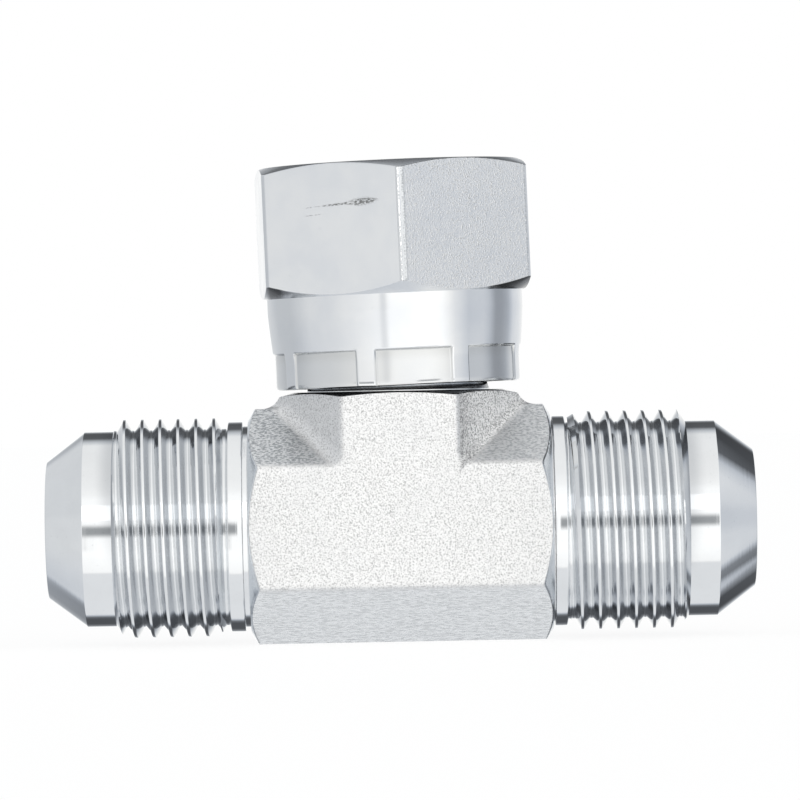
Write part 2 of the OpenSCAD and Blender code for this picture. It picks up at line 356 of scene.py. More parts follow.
# %% The two male ends
RUN_HALF, NOSE, NOSE_LEN, CONE_LEN, TIP = 35.8, 9.9, 2.95, 3.85, 6.999
SHOULDER_X = RUN_HALF - CONE_LEN
NOSE_X = SHOULDER_X - NOSE_LEN
COLLAR_R, NECK_R, GROOVE_R, CREST = 10.65, 10.2, 10.0, 11.1
ENTRY, COLLAR_BREAK, MOUTH_BREAK = 0.8, 0.15, 0.35  # chamfers: on the first crest, the collar and the mouth
INNER_X = 15.0  # inside the forging
SHARP_TURNED = 30


def male_end(name, side, crest, collar, run_out):
    """One turned end, on the right or turned half a turn about the branch. The collar is given by its
    two ends, and the run-out by the start of the thread, its radius there and its rise."""
    thread_x, start_r, rise = run_out

    def envelope(along):
        """The crest, held under the run-out at one end and under the chamfer at the nose."""
        chamfer = NOSE + (NOSE_X - along) * (CREST - NOSE) / ENTRY
        return np.minimum(np.minimum(CREST, start_r + (along - thread_x) * rise), chamfer)

    collar_start, collar_end = collar
    inner = rounded_profile(
        [(INNER_X, BORE), (INNER_X, NECK_R), (collar_start, NECK_R), (collar_start, COLLAR_R),
         (collar_end - COLLAR_BREAK, COLLAR_R), (collar_end, GROOVE_R), (thread_x, GROOVE_R)],
        [CRISP, 0.05, 0.14, 0.14, 0.1])
    outer = rounded_profile(
        [(NOSE_X, NOSE), (SHOULDER_X, NOSE), (RUN_HALF, TIP), (RUN_HALF, BORE + MOUTH_BREAK),
         (RUN_HALF - MOUTH_BREAK, BORE), (INNER_X, BORE)], [0.12, 0.15, 0.05, 0.05])
    along, radius, angle = threaded(thread_x, NOSE_X, crest, envelope, CREST - THREAD_DEPTH, THREAD_DEPTH)
    groove = np.full_like(radius[:1], GROOVE_R)
    thread = np.concatenate([along[:1], along]), np.concatenate([groove, radius]), angle
    grids = [turned_rows(inner, AROUND), thread, turned_rows(outer, AROUND)]
    flip = np.array([side, side, 1])
    piece = piece_from_grids(name, [about_x(*grid) * flip for grid in grids], SHARP_TURNED)

    def flank(x, y, z):
        """Sine of the phase of the thread: 1 in the middle of one flank and -1 of the other."""
        phase = (side * x - crest) / PITCH - np.arctan2(z, side * y) / (2 * math.pi)
        return side * np.sin(2 * math.pi * phase) * (side * x > thread_x) * (side * x < NOSE_X)

    mark(piece, "flank", flank)
    return piece


right_end = male_end("male_end_right", 1, 19.18 - PITCH / 4, (15.45, 16.85), (17.0, 10.5, 0.6))
left_end = male_end("male_end_left", -1, 18.82 - PITCH / 4, (15.85, 17.5), (17.8, 10.0, 1.73))

# %% [markdown]
# The branch stub is what the nut hangs on: a turned neck, a head that the crimp can't pass, and in its
# front the concave flare seat. Only a sliver of the neck shows in the gap.

# %% The branch stub
STUB_R, HEAD_R, HEAD_BACK, HEAD_TOP, SEAT_MOUTH = 9.0, 9.8, 18.2, 23.3, 8.9
FLARE_ANGLE = math.radians(37)
SEAT_DEPTH = (SEAT_MOUTH - BORE) / math.tan(FLARE_ANGLE)
STUB_AROUND = 128
STUB_LOW, ROOT_R, ROOT_TOP = 13.2, 9.3, 14.3  # inside the forging, and the thicker root of the neck
stub_profile = rounded_profile(
    [(STUB_LOW, BORE), (STUB_LOW, ROOT_R), (SHOULDER + 0.1, ROOT_R), (ROOT_TOP, STUB_R), (HEAD_BACK, STUB_R),
     (HEAD_BACK + 0.8, HEAD_R), (HEAD_TOP, HEAD_R), (HEAD_TOP, SEAT_MOUTH), (HEAD_TOP - SEAT_DEPTH, BORE),
     (STUB_LOW, BORE)], [CRISP, 0.3, 0.8, 0.3, 0.15, 0.3, 0.1, 0.1])
stub = piece_from_grids("branch_stub", [about_z(*turned_rows(stub_profile, STUB_AROUND))], SHARP_TURNED)

# %% [markdown]
# The nut is a hex bar turned down to a round tail. Its skin runs up each meridian: the crimped mouth,
# the drawn-in tail with the flats pressed by eight jaws, the lower chamfer, the flat and the upper
# chamfer. The chamfer is a cone and the hex a plane, so each meridian changes over at its own height,
# which gives the curved lines of a real nut. The nut leans on its neck as in the picture.

# %% Sizes of the nut, and its lean
NUT_Z, LEAN = 14.05, math.radians(1.5)
NUT_LEN, HEX_LOW = 22.5, 9.2
HEX_FLAT, SKIM_R, HEX_START = 13.35, 15.25, 13.1  # half across flats, skimmed corners, start of the chamfers
HIGH_SLOPE, LOW_SLOPE = math.radians(22), math.radians(28)
TAIL_R, CRIMP_R, TAPER = 13.0, 12.52, (2.6, 7.6)
NUT_TURN, JAW_TURN = 4, -14.5  # degrees from the front
JAWS, PAD_HEIGHT, PAD_DEPTH, RIDGE = 8, 3.6, 0.15, 9
PAD_SIDE, PAD_TOP = 0.6, 0.15  # soft edges of a pressed flat, in degrees and in mm
MOUTH_R, CHAMBER_R, RELIEF_R, NUT_CREST, ENTRY_R = 9.35, 10.55, 11.3, 10.2, 11.5
MOUTH_TOP, CHAMBER_LOW, CHAMBER_TOP, RELIEF_LOW, RELIEF_TOP = 4.0, 5.2, 9.25, 10.0, 10.8
WALL_LOW, WALL_R = 10.9, ENTRY_R - 0.02  # the wall behind the thread, a little inside the ring's own
print("jaw marks every", 360 / JAWS, "degrees round the tail")


def leaned(points):
    """Turns points about Y so that the top moves to -X, then lifts them onto the neck."""
    x, y, z = points[..., 0], points[..., 1], points[..., 2]
    return np.stack([x * math.cos(LEAN) - z * math.sin(LEAN), y,
                     x * math.sin(LEAN) + z * math.cos(LEAN) + NUT_Z], -1)


def unleaned(x, z):
    """From the rest place back to the nut's own axis. Works on arrays and on wrapped sockets."""
    z = z - NUT_Z
    return x * math.cos(LEAN) + z * math.sin(LEAN), z * math.cos(LEAN) - x * math.sin(LEAN)


def hex_angles():
    """Angles round the nut: even steps, with a few more beside each corner and each ridge."""
    even = np.arange(0, 360, 1.25)
    near_corner = np.array([-1.4, -1.2, -1, -0.4, 0, 0.4, 1, 1.2, 1.4])
    corners = NUT_TURN - 90 + 60 * np.arange(6)[:, None] + near_corner
    near = np.array([-1.2, -0.8, -0.4, 0, 0.4, 0.8, 1.2])
    near_ridge = np.concatenate([near - RIDGE / 2, near + RIDGE / 2])
    ridges = JAW_TURN - 90 + 360 / JAWS * np.arange(JAWS)[:, None] + near_ridge
    angles = np.unique(np.round(np.concatenate([even, corners.ravel() % 360, ridges.ravel() % 360]), 3))
    return np.radians(np.append(angles, 360.0))


def hex_radius(angle):
    """Half across flats over the cosine of the angle from a flat's middle, held under the skim."""
    from_flat = (np.degrees(angle) - NUT_TURN + 90) % 60 - 30
    radius = HEX_FLAT / np.cos(np.radians(from_flat))
    return smooth_min(radius, SKIM_R, 0.02)


def jaw_press(z, angle):
    """1 on the flats that the jaws press and 0 on the ridges between them and above."""
    share = 360 / JAWS
    from_ridge = np.abs((np.degrees(angle) - JAW_TURN + 90 + share / 2) % share - share / 2)
    beside = ease(RIDGE / 2 - PAD_SIDE, RIDGE / 2 + PAD_SIDE, from_ridge)
    return beside * (1 - ease(PAD_HEIGHT - PAD_TOP, PAD_HEIGHT + PAD_TOP, z))


def tail_radius(z, angle):
    """A cone that steepens a little from the full tail down to the crimp, less the pressed flats."""
    t = np.clip((TAPER[1] - z) / (TAPER[1] - TAPER[0]), 0, 1)
    radius = TAIL_R - (TAIL_R - CRIMP_R) * (0.75 * t + 0.25 * t * t)
    return radius - (radius - CRIMP_R + PAD_DEPTH) * jaw_press(z, angle)


# %% The nut's skin
SHARP_NUT = 25
angle = hex_angles()
ones = np.ones_like(angle)


def level(z, r):
    """One corner of every meridian, with a height and radius that are the same or differ round the nut."""
    return np.stack([z * ones, r * ones], -1)


hex_r = hex_radius(angle)
low_rise, high_rise = ((hex_r - HEX_START) * math.tan(slope) for slope in (LOW_SLOPE, HIGH_SLOPE))
hex_rows = rounded_profile(
    [level(HEX_LOW, TAIL_R), level(HEX_LOW, HEX_START), level(HEX_LOW + low_rise, hex_r),
     level(NUT_LEN - high_rise, hex_r), level(NUT_LEN, HEX_START), level(NUT_LEN, ENTRY_R)],
    [0.08, 0.12, 0.12, 0.08])
pad_rows = [np.linspace(0.3, 3.3, 9), np.linspace(3.4, 3.8, 9)]
taper_rows = [np.linspace(3.95, TAPER[1] - 0.04, 16), [TAPER[1] + 0.03, 8.1, 8.7, HEX_LOW]]
tail_z = np.concatenate(pad_rows + taper_rows)
tail_rows = [level(z, tail_radius(z * ones, angle)) for z in tail_z]
lip = tail_rows[0][:, 1] - 0.3
bottom_rows = [level(0, MOUTH_R + 0.3), level(0, lip), level(0.09, lip + 0.21)]
inner_rows = rounded_profile(
    [level(NUT_LEN, ENTRY_R), level(NUT_LEN - 0.3, WALL_R), level(WALL_LOW, WALL_R),
     level(RELIEF_TOP, RELIEF_R), level(RELIEF_LOW, RELIEF_R), level(CHAMBER_TOP, CHAMBER_R),
     level(CHAMBER_LOW, CHAMBER_R), level(MOUTH_TOP, MOUTH_R), level(0.3, MOUTH_R), level(0, MOUTH_R + 0.3)],
    [CRISP, 0.01, 0.01, 0.1, 0.1, 0.3, 0.3, 0.05])
meridians = np.stack(bottom_rows + tail_rows + hex_rows + inner_rows)
shell = leaned(about_z(meridians[..., 0], meridians[..., 1], angle))
nut_shell = piece_from_grids("nut_shell", [shell], SHARP_NUT)


def pad(x, y, z):
    """1 on the flats pressed by the jaws, 0 elsewhere and on the inner walls, for the leaned nut."""
    across, along = unleaned(x, z)
    outer = np.hypot(across, y) > CRIMP_R - 0.8
    return jaw_press(along, np.arctan2(y, across)) * outer


mark(nut_shell, "pad", pad)

# %% [markdown]
# The thread inside the nut is the same helix with its crest inwards. It is a ring of its own, closed by
# a wall that lies in the nut: a relief at its foot and a countersink at the mouth open it at both ends.

# %% The nut's inside thread
THREAD_LOW, THREAD_HIGH, NUT_DEPTH, NUT_PHASE, NUT_AROUND = 11.05, NUT_LEN, 0.95, 17.0, 180


def nut_envelope(along):
    """Relief below and countersink above, both open to the outer wall of this ring."""
    relief = ENTRY_R - (along - THREAD_LOW)
    entry = ENTRY_R - (THREAD_HIGH - along)
    return np.maximum(np.maximum(relief, entry), NUT_CREST)


nut_root = NUT_CREST + NUT_DEPTH
inside = threaded(THREAD_LOW, THREAD_HIGH, NUT_PHASE, nut_envelope, nut_root, -NUT_DEPTH, NUT_AROUND)
outside = turned_rows([(THREAD_HIGH, ENTRY_R), (THREAD_LOW, ENTRY_R)], NUT_AROUND)
ring = [leaned(about_z(*grid)) for grid in (inside, outside)]
nut_thread = piece_from_grids("nut_thread", ring, SHARP_TURNED)

# %% [markdown]
# Shader maths reads best as plain arithmetic. A small class wraps a socket, so that an expression on
# wrapped values adds its Math nodes by itself. Colours go through Mix nodes instead, because a Math
# node would turn them grey.

# %% A socket with arithmetic
class Val:
    """A wrapped socket: + - * / with numbers or other sockets add Math nodes."""

    def __init__(self, tree, socket):
        self.tree, self.socket = tree, socket

    def combine(self, operation, *values):
        """One Math node over the values in their order."""
        node = self.tree.nodes.new("ShaderNodeMath")
        node.operation = operation
        for slot, value in zip(node.inputs, values):
            if isinstance(value, Val):
                self.tree.links.new(value.socket, slot)
            else:
                slot.default_value = value
        return Val(self.tree, node.outputs[0])

    def math(self, operation, *others):
        """The same with this value first."""
        return self.combine(operation, self, *others)

    def __add__(self, other):
        return self.math("ADD", other)

    def __mul__(self, other):
        return self.math("MULTIPLY", other)

    def __sub__(self, other):
        return self.math("SUBTRACT", other)

    def __truediv__(self, other):
        return self.math("DIVIDE", other)

    def __rsub__(self, other):
        return self.combine("SUBTRACT", other, self)

    def __rtruediv__(self, other):
        return self.combine("DIVIDE", other, self)

    __radd__, __rmul__ = __add__, __mul__

    def __abs__(self):
        return self.math("ABSOLUTE")

    def root(self):
        """Square root."""
        return self.math("SQRT")

    def larger(self, other):
        """The larger of this and another."""
        return self.math("MAXIMUM", other)

    def step(self, low, high):
        """Soft step from 0 at low to 1 at high, or falling where low is above high."""
        node = self.tree.nodes.new("ShaderNodeMapRange")
        node.interpolation_type = "SMOOTHSTEP"
        self.tree.links.new(self.socket, node.inputs["Value"])
        rising = float(low < high)
        ends = min(low, high), max(low, high), 1 - rising, rising
        for name, value in zip(("From Min", "From Max", "To Min", "To Max"), ends):
            node.inputs[name].default_value = value
        return Val(self.tree, node.outputs["Result"])


# %% [markdown]
# Every finish is made of the same few kinds of node, so one class makes any node and has short methods
# for noise, colour layers and bump. Patterns read Object coordinates, so they stay on the metal.

# %% A shader and its nodes
class Shader:
    """A material's node tree, with one method for any node and a few for what repeats."""

    def __init__(self, name):
        self.material = bpy.data.materials.new(name)
        self.material.use_nodes = True
        self.tree = self.material.node_tree
        self.surface = self.tree.nodes["Principled BSDF"]
        self.output = self.tree.nodes["Material Output"]
        self.place = self.node("TexCoord").outputs["Object"]

    def node(self, kind, settings=None, **inputs):
        """Any ShaderNode: its kind, its settings, then values or links for its sockets by name."""
        node = self.tree.nodes.new("ShaderNode" + kind)
        for key, value in (settings or {}).items():
            setattr(node, key, value)
        for key, value in inputs.items():
            self.feed(node, key.replace("_", " "), value)
        return node

    def feed(self, node, key, value):
        """Links or sets one socket, given by its number or by its name among those in use."""
        named = isinstance(key, str)
        slot = next(s for s in node.inputs if s.name == key and s.enabled) if named else node.inputs[key]
        if isinstance(value, Val):
            self.tree.links.new(value.socket, slot)
        elif isinstance(value, bpy.types.NodeSocket):
            self.tree.links.new(value, slot)
        else:
            slot.default_value = value

    def val(self, socket):
        """A socket wrapped for arithmetic."""
        return Val(self.tree, socket)

    def split(self, vector):
        """The three numbers of a vector."""
        node = self.node("SeparateXYZ", Vector=vector)
        return [self.val(socket) for socket in node.outputs]

    def place_in_mm(self):
        """Object coordinates x, y and z in mm."""
        return [part / MM for part in self.split(self.place)]

    def noise(self, scale, detail=3, roughness=0.55, stretch=(1, 1, 1)):
        """Noise in Object coordinates, in cycles per mm, drawn out along an axis where stretch is below 1."""
        mapped = self.node("Mapping", Vector=self.place, Scale=[s * scale / MM for s in stretch])
        node = self.node("TexNoise", Vector=mapped.outputs[0], Scale=1.0, Detail=detail, Roughness=roughness)
        return self.val(node.outputs["Fac"])

    def number(self, name):
        """The piece's own mark of this name."""
        return self.val(self.node("Attribute", {"attribute_name": name}).outputs["Fac"])

    def mix(self, factor, a, b):
        """Colour a where factor is 0 and b where it is 1."""
        node = self.node("Mix", {"data_type": "RGBA"})
        self.feed(node, 0, factor)
        for key, value in ((6, a), (7, b)):
            self.feed(node, key, (*value, 1) if isinstance(value, tuple) else value)
        return node.outputs[2]

    def layers(self, colour, *layers):
        """A colour with others laid over it in turn, each by its own share."""
        for share, tone in layers:
            colour = self.mix(share, colour, tone)
        return colour

    def blend(self, factor, a, b):
        """Surface a where factor is 0 and surface b where it is 1."""
        node = self.node("MixShader")
        for key, value in enumerate((factor, a.outputs[0], b.outputs[0])):
            self.feed(node, key, value)
        return node

    def bump(self, height, distance, strength=1.0, normal=None):
        """Tilts the normal as if the surface rose by the height times a distance in mm."""
        node = self.node("Bump", Height=height, Distance=distance * MM, Strength=strength)
        if normal is not None:
            self.feed(node, "Normal", normal)
        return node.outputs[0]

    def set(self, **sockets):
        """Sets or links sockets of the surface by name."""
        for key, value in sockets.items():
            value = (*value, 1) if isinstance(value, tuple) and len(value) == 3 else value
            self.feed(self.surface, key.replace("_", " "), value)


# %% [markdown]
# The forging is shot-blasted and then zinc plated: thousands of tiny dents under a thin bright skin. The
# dents are a bump of fine noise over a little coarse unevenness from the die. Colour and roughness
# follow the same noise, since the floor of a dent stays duller than its rim. The shoulder, the end
# chamfers and the drilled way are cut after forging and have no dents, so they are masked by formula.

# %% Blasted and plated forging
DENT, RIM = (0.55, 0.55, 0.55), (0.93, 0.93, 0.93)
CLOUD, MARK = (0.80, 0.81, 0.82), (0.35, 0.36, 0.36)
# LOWER_FACE_LIGHT is a painted highlight that makes the lower faces lighter
LOWER_FACE_LIGHT, CUT_FACE = (0.96, 0.975, 0.985), (0.74, 0.77, 0.80)
# VALLEY_GRAIN_SHADE is coarse grain painted darker, as painted shade under the nut
VALLEY_PALE, VALLEY_GRAIN_SHADE = (0.93, 0.94, 0.95), (0.46, 0.48, 0.50)
SHADE, WHITE, UNLIT = (0.33, 0.33, 0.34), (1.0, 1.0, 1.0), (0.02, 0.02, 0.02)
FADE = 0.5  # mm over which one face's grain passes into the next
UNDER_NUT = 11.7, 11.4  # mm from the branch's axis: the unlit shoulder


def forging_cuts(x, y, z):
    """Two masks: 1 where the forging is as blasted, and 1 on the unlit shoulder under the nut."""
    from_run, from_branch = (y * y + z * z).root(), (x * x + y * y).root()
    end_cut = from_run - (BODY_END - abs(x)) / math.tan(END_SLOPE) - END_START
    top_cut = z - SHOULDER + (from_branch - TOP_START).larger(0.0) * math.tan(TOP_SLOPE)
    wall = BORE + 0.35, BORE + 0.1
    drilled = from_run.step(*wall).larger(from_branch.step(*wall) * z.step(0, 1))
    cut = end_cut.step(-0.07, -0.02).larger(top_cut.step(-0.05, -0.01)).larger(drilled)
    hidden = z.step(SHOULDER - 0.12, SHOULDER - 0.02) * from_branch.step(*UNDER_NUT)
    return 1 - cut, hidden


def forged_zinc():
    """Dents everywhere, drawn out on the lower faces and in the valleys. Painted light lifts the lower faces,
    painted shade darkens the valleys, crease and foot, and white flecks paint glints on the right wing.
    """
    s = Shader("forged_zinc")
    x, y, z = s.place_in_mm()
    cast, hidden = forging_cuts(x, y, z)
    past_mitre = abs(x) - z
    below = z.step(-RUN_FLAT, -RUN_FLAT - FADE)
    recess = z.step(RUN_FLAT, RUN_FLAT + FADE) * past_mitre.step(0.6, 1.4)
    wing = x.step(BRANCH_FLAT, BRANCH_FLAT + FADE) * past_mitre.step(1.0, 0.4)

    blast, streaks = s.noise(5.6, 3, 0.65), s.noise(3.6, 3, 0.6, (0.4, 1, 1))
    coarse, cloud, cell = s.noise(5.4, 3, 0.6, (0.55, 1, 1)), s.noise(0.16, 3), s.noise(1.1, 3, 0.6)
    grain = blast + (streaks - blast) * below
    grain = grain + (coarse - grain) * recess
    pits = grain.step(0.34, 0.56)

    # The front and the lower faces: dents and rims, a faint cloud, and scattered darker marks, with the lower
    # faces painted lighter as a painted highlight
    marks = cell.step(0.62, 0.72) * blast.step(0.58, 0.46) * (1 - below)
    faces = s.layers(s.mix(pits, DENT, RIM), (cloud.step(0.4, 0.7) * 0.2, CLOUD), (marks * 0.5, MARK),
                     (below * 0.75, LOWER_FACE_LIGHT))

    # The valleys, whose grain runs along the bar and is painted darker as shade from the nut above, and the
    # right wing with painted shade in its crease and along its shaded foot, and white flecks that paint
    # glints
    grain_shade = coarse.step(0.56, 0.42) * (1 - x.step(0, 1) * 0.3)
    valleys = s.mix(grain_shade, VALLEY_PALE, VALLEY_GRAIN_SHADE)
    # Painted shade: a dark line along the crease of the right valley
    crease_shade = abs(past_mitre + 0.5).step(0.5, 0.1) * x.step(6.5, 7.5)
    # Painted shadow along the wing's left edge and its lower corner
    foot = x.step(7.8, 6.2).larger((x + z).step(17.5, 13.5)) * (0.2 + cell * 0.5)
    creased_shade = crease_shade * blast.step(0.42, 0.56) * 0.3
    # Random specks, with the painted shade of the crease and the foot, all laid in SHADE
    specks = cell.step(0.54, 0.64) * 0.15 + blast.step(0.47, 0.40) * 0.35 + creased_shade + foot
    # Painted glints: white flecks on the right wing, less metallic so that they stay pale
    glint_fleck = wing * blast.step(0.50, 0.58) * (1 - foot)
    colour = s.layers(faces, (recess, valleys), (wing * specks, SHADE), (glint_fleck * 0.9, WHITE))

    colour = s.layers(CUT_FACE, (cast, colour), (hidden * 0.96, UNLIT))
    dull = 0.2 - below * 0.12 + wing * 0.35 + (1 - pits) * 0.14 + cell * 0.08
    uneven = s.bump(cell, 0.12, 0.2)
    s.set(Base_Color=colour, Metallic=0.95 - glint_fleck * 0.7, Roughness=0.12 + cast * dull)
    s.set(Normal=s.bump(grain * cast * (1 - below * 0.5), 0.08, 0.75, uneven))
    return s.material


forging.data.materials.append(forged_zinc())
print("forged_zinc nodes:", len(forging.data.materials[0].node_tree.nodes))

# %% [markdown]
# The turned ends are bright zinc over a lathe-cut face: the tool leaves rings finer than the eye can
# part, which stretch each reflection across them. Rings are noise squeezed along the axis. The flanks
# of a thread face each other and lose light, so a threaded end carries a mark that is 1 on one flank
# and -1 on the other, and painted shade makes its flanks darker by that. The stub has no mark, which
# reads as 0.

# %% Turned and plated ends
ZINC = (0.85, 0.865, 0.88)
ZINC_CLOUD = tuple(c * 0.95 for c in ZINC)
SPECK, FLANK_SHADE = (0.5, 0.52, 0.55), (0.36, 0.38, 0.41)


def turned_zinc(name, stretch):
    """Fine rings in colour, roughness and bump, painted shade and more roughness on the flanks, and a few
    specks.
    """
    s = Shader(name)
    rings, cloud, specks = s.noise(5.0, 2, 0.5, stretch), s.noise(0.22, 4), s.noise(3.0, 3, 0.6)
    flank = s.number("flank")
    # Painted shade on the thread's flanks, which are also a little rougher
    dull = flank.step(0.35, 0.95) * 0.45 + flank.step(-0.35, -0.95) * 0.22
    clouded = cloud.step(0.3, 0.75)
    colour = s.layers(ZINC, (clouded, ZINC_CLOUD), (specks.step(0.66, 0.74) * 0.3, SPECK), (dull, FLANK_SHADE))
    s.set(Base_Color=colour, Metallic=1.0, Roughness=0.03 + rings * 0.03 + cloud * 0.04 + dull * 0.06)
    s.set(Normal=s.bump(rings + specks * 0.1, 0.006, 0.5))
    return s.material


ends = turned_zinc("turned_zinc", (1, 0.02, 0.02))
for piece in (left_end, right_end):
    piece.data.materials.append(ends)
stub.data.materials.append(turned_zinc("turned_zinc_stub", (0.02, 0.02, 1)))
print("turned_zinc nodes:", len(ends.node_tree.nodes))

# %% [markdown]
# The nut has three surfaces: the hexagon, smooth but for the grainy flat on the right with painted white
# glints, a turned tail with the same fine rings as the ends, and the flats that the jaws press, with painted
# shade along their edges. The front corner is skimmed, with painted highlights in beads along it, the lower
# chamfer has painted shade near both sides, and the left flat has a scuff. All of them are masks in the
# nut's own upright coordinates, so that they turn with it.

# %% Finish of the nut
NUT_PALE, NUT_CLOUD, GRAIN = (0.87, 0.88, 0.89), (0.80, 0.82, 0.85), (0.55, 0.58, 0.63)
PRESSED, PRESSED_EDGE_SHADE = (0.68, 0.685, 0.68), (0.30, 0.30, 0.28)
SKIMMED, SHADED, DIRT = (0.64, 0.66, 0.68), (0.05, 0.05, 0.05), (0.14, 0.14, 0.135)
UNDER_TAIL = 12.15, 11.9  # mm from the axis: the unlit ring under the tail
SCUFF_X, SCUFF_Z, SCUFF_RISE = -2.9, 18.4, 0.06


def scuff(s, across, along):
    """A smear that thins to the left, broken into short streaks, with two wisps left of it."""
    smear = along - SCUFF_Z - (across - SCUFF_X) * SCUFF_RISE
    thick = abs(across + 2.8).step(1.9, 0.3) * 0.26 + across.step(-7.2, -5.5) * 0.07 + 0.04
    streak = s.noise(8.0, 3, 0.65, (0.16, 1, 1.2))
    reach = across.step(-7.3, -6.4) * across.step(-0.9, -1.8)
    dirt = (abs(smear) / thick).step(1.4, 0.4) * reach * streak.step(0.4, 0.56)
    wisp_reach = across.step(-8.8, -8.1) * across.step(-6.6, -7.6)
    wisps = abs(abs(smear + 0.4) - 0.4).step(0.07, 0.02) * wisp_reach
    return dirt + wisps * streak.step(0.42, 0.6) * 0.6


def nut_zinc():
    """Smooth, grainy, turned and pressed surfaces, each by its place on the nut."""
    s = Shader("nut_zinc")
    x, y, z = s.place_in_mm()
    across, along = unleaned(x, z)
    out = (across * across + y * y).root()
    hexagon = along.step(HEX_LOW, HEX_LOW + 0.15)
    polished = 1 - hexagon

    def face(degrees):
        """1 on the flat whose outward direction is at this angle."""
        turn = math.radians(degrees)
        outward = across * math.cos(turn) + y * math.sin(turn)
        return outward.step(HEX_FLAT - 0.12, HEX_FLAT - 0.03) * hexagon

    rings, blast, cloud = s.noise(5.0, 2, 0.5, (0.05, 0.05, 1)), s.noise(5.8, 3, 0.65), s.noise(0.2, 4)
    specks, beads = s.noise(3.0, 3, 0.6), s.noise(3.4, 2, 0.5, (1, 1, 0.7))
    grainy = face(NUT_TURN - 60) * (0.5 + s.noise(0.12, 2))

    # The front corner, the lower chamfer with its painted shade, and the pressed flats, darker towards their
    # top and with painted shade along their edges
    front = math.radians(NUT_TURN - 90)
    beside = y * math.cos(front) - across * math.sin(front)
    corner = out.step(SKIM_R - 0.11, SKIM_R - 0.04) * abs(beside).step(1.0, 0.8) * y.step(0, -1) * hexagon
    # Painted highlights: white beads along the skimmed corner, also raised by the bump
    beaded_highlight = corner * abs(beside + 0.17).step(0.15, 0.08) * beads.step(0.44, 0.54)
    chamfer = along - HEX_LOW - (out - HEX_START) * math.tan(LOW_SLOPE)
    chamfer = abs(chamfer).step(0.07, 0.02) * out.step(HEX_START + 0.02, HEX_START + 0.1)
    left_part = across.step(-12.9, -12.4) * across.step(-10.8, -11.6) * 0.8
    shaded = chamfer * (across.step(9.2, 10.0) + left_part)
    pressed = s.number("pad")
    # Painted shade along the edges of the pressed flats
    pad_edge_shade = pressed * (1 - pressed) * 4

    dirt = scuff(s, across, along) * face(NUT_TURN - 120)
    hidden = along.step(0.3, 0.1) * out.step(*UNDER_TAIL)

    colour = s.layers(
        NUT_PALE,
        (cloud.step(0.3, 0.75), NUT_CLOUD),
        (specks.step(0.68, 0.76) * 0.25, SPECK),
        (grainy * blast.step(0.50, 0.36) * 0.4, GRAIN),
        # Painted glints: white spots on the grainy flat
        (grainy * blast.step(0.56, 0.64) * 0.9, WHITE),
        (pressed * (0.5 + along.step(2.2, 3.5) * 0.4), PRESSED),
        (pad_edge_shade * 0.22, PRESSED_EDGE_SHADE),
        (corner * 0.8, SKIMMED),
        (beaded_highlight, WHITE),
        (shaded * 0.95, SHADED),
        (dirt * 0.85, DIRT),
        (hidden * 0.96, UNLIT))
    s.set(Base_Color=colour, Metallic=1.0)
    s.set(Roughness=0.18 - polished * 0.1 + pressed * 0.06 + grainy * 0.04 + dirt * 0.4 + cloud * 0.04)
    fine = s.bump(rings * polished, 0.006, 0.4)
    glints = blast.step(0.52, 0.68) * grainy * 1.5 + blast * grainy
    s.set(Normal=s.bump(glints + beads * beaded_highlight * 3, 0.05, 0.6, fine))
    return s.material


nut_finish = nut_zinc()
for piece in (nut_shell, nut_thread):
    piece.data.materials.append(nut_finish)
print("nut_zinc nodes:", len(nut_finish.node_tree.nodes))

# %% [markdown]
# Each piece rides on the body that carries it, and stands for the plain solid, which stays for
# collision.

# %% Riding and replacing
turned = [(piece, "turned_zinc") for piece in (left_end, right_end, stub)]
for piece, slot in [(forging, "forged_zinc")] + turned:
    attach(piece, "tee")
    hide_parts("tee_body")
for piece in (nut_shell, nut_thread):
    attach(piece, "nut")
    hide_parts("swivel_nut")

# %% [markdown]
# The camera stands level with the fitting. One picture doesn't tell how far away, so 600 mm is an
# estimate. The focal length follows from it and from the scale of the picture, and a small roll matches
# how the fitting lies there.

# %% Camera
DISTANCE, SENSOR = 600.0, 36.0
WIDTH, SCALE = 800, 9.837  # pixels across, and pixels to a mm at the fitting's middle
ORIGIN_X, ORIGIN_Y = 400.95, 523.6  # pixel where the run and the branch cross
ROLL = math.radians(1.1)
camera_data = bpy.data.cameras.new("camera")
camera = placed("camera", camera_data)
camera_data.sensor_width = SENSOR
camera_data.lens = SCALE * DISTANCE * SENSOR / WIDTH
right = np.array([math.cos(ROLL), 0, -math.sin(ROLL)])
up = np.array([math.sin(ROLL), 0, math.cos(ROLL)])
ahead = np.array([0, 1, 0])
across, above = (ORIGIN_X - WIDTH / 2) / SCALE, (WIDTH / 2 - ORIGIN_Y) / SCALE
camera.location = -(DISTANCE * ahead + across * right + above * up) * MM
camera.rotation_euler = (math.pi / 2, ROLL, 0)
camera_data.clip_start, camera_data.clip_end = 0.01, 20
bpy.context.scene.camera = camera
print("lens mm", round(camera_data.lens, 1), "at", [round(v, 4) for v in camera.location])

# %% [markdown]
# Metal has hardly any colour of its own: it shows what stands round it. So the light comes from a pale
# surround, the world, and only one soft box in front adds to it. The floor is white to the camera and
# takes a faint shadow, and mirror reflections look through it, so that the lower faces stay pale.

# %% Floor
FLOOR_Z, REACH = -LAND, 3000


def studio_floor():
    """Mostly plain white to the camera, a matt floor to other rays and clear to mirror reflections."""
    s = Shader("studio_floor")
    s.set(Base_Color=(0.9, 0.9, 0.9), Roughness=0.9)
    glow = s.node("Emission", Color=(1, 1, 1, 1), Strength=1.05)
    path, clear = s.node("LightPath"), s.node("BsdfTransparent")
    lit = s.blend(s.val(path.outputs["Is Camera Ray"]) * 0.85, s.surface, glow)
    seen = s.blend(path.outputs["Is Glossy Ray"], lit, clear)
    s.feed(s.output, 0, seen.outputs[0])
    return s.material


